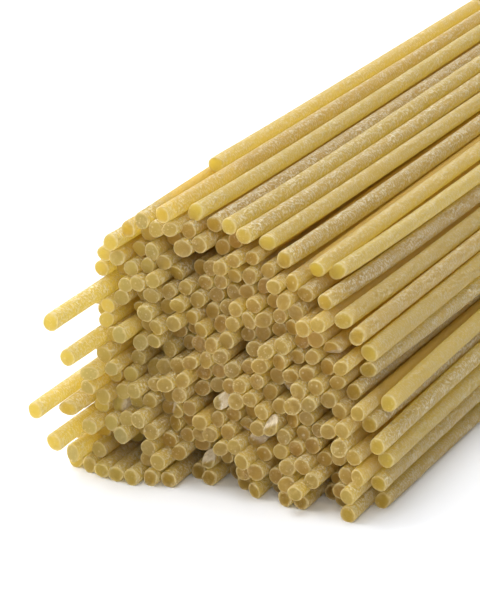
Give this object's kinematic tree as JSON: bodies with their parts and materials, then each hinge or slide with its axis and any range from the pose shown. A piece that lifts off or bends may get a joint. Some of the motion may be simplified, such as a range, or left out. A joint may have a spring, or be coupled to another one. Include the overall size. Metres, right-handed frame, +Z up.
{
  "type": "bundle of dry spaghetti",
  "caption": "Loose bundle of straight dry pasta strands lying side by side, with uneven cut ends at both ends and a few strands slid out at one side.",
  "frame": {"origin": "middle of the underside of the bundle, on the surface it lies on", "axes": "+Y along the strands, from the uneven face where some have slid out to the far ends; +Z up; +X to the right seen from the uneven face"},
  "size_m": [0.0414, 0.287, 0.0341],
  "materials": {
    "dry_pasta": "matt, pale straw-yellow durum wheat pasta with a fine rough skin and snapped ends"
  },
  "bodies": {
    "root": {"spaghetti_bundle": "dry_pasta"}
  },
  "joints": []
}
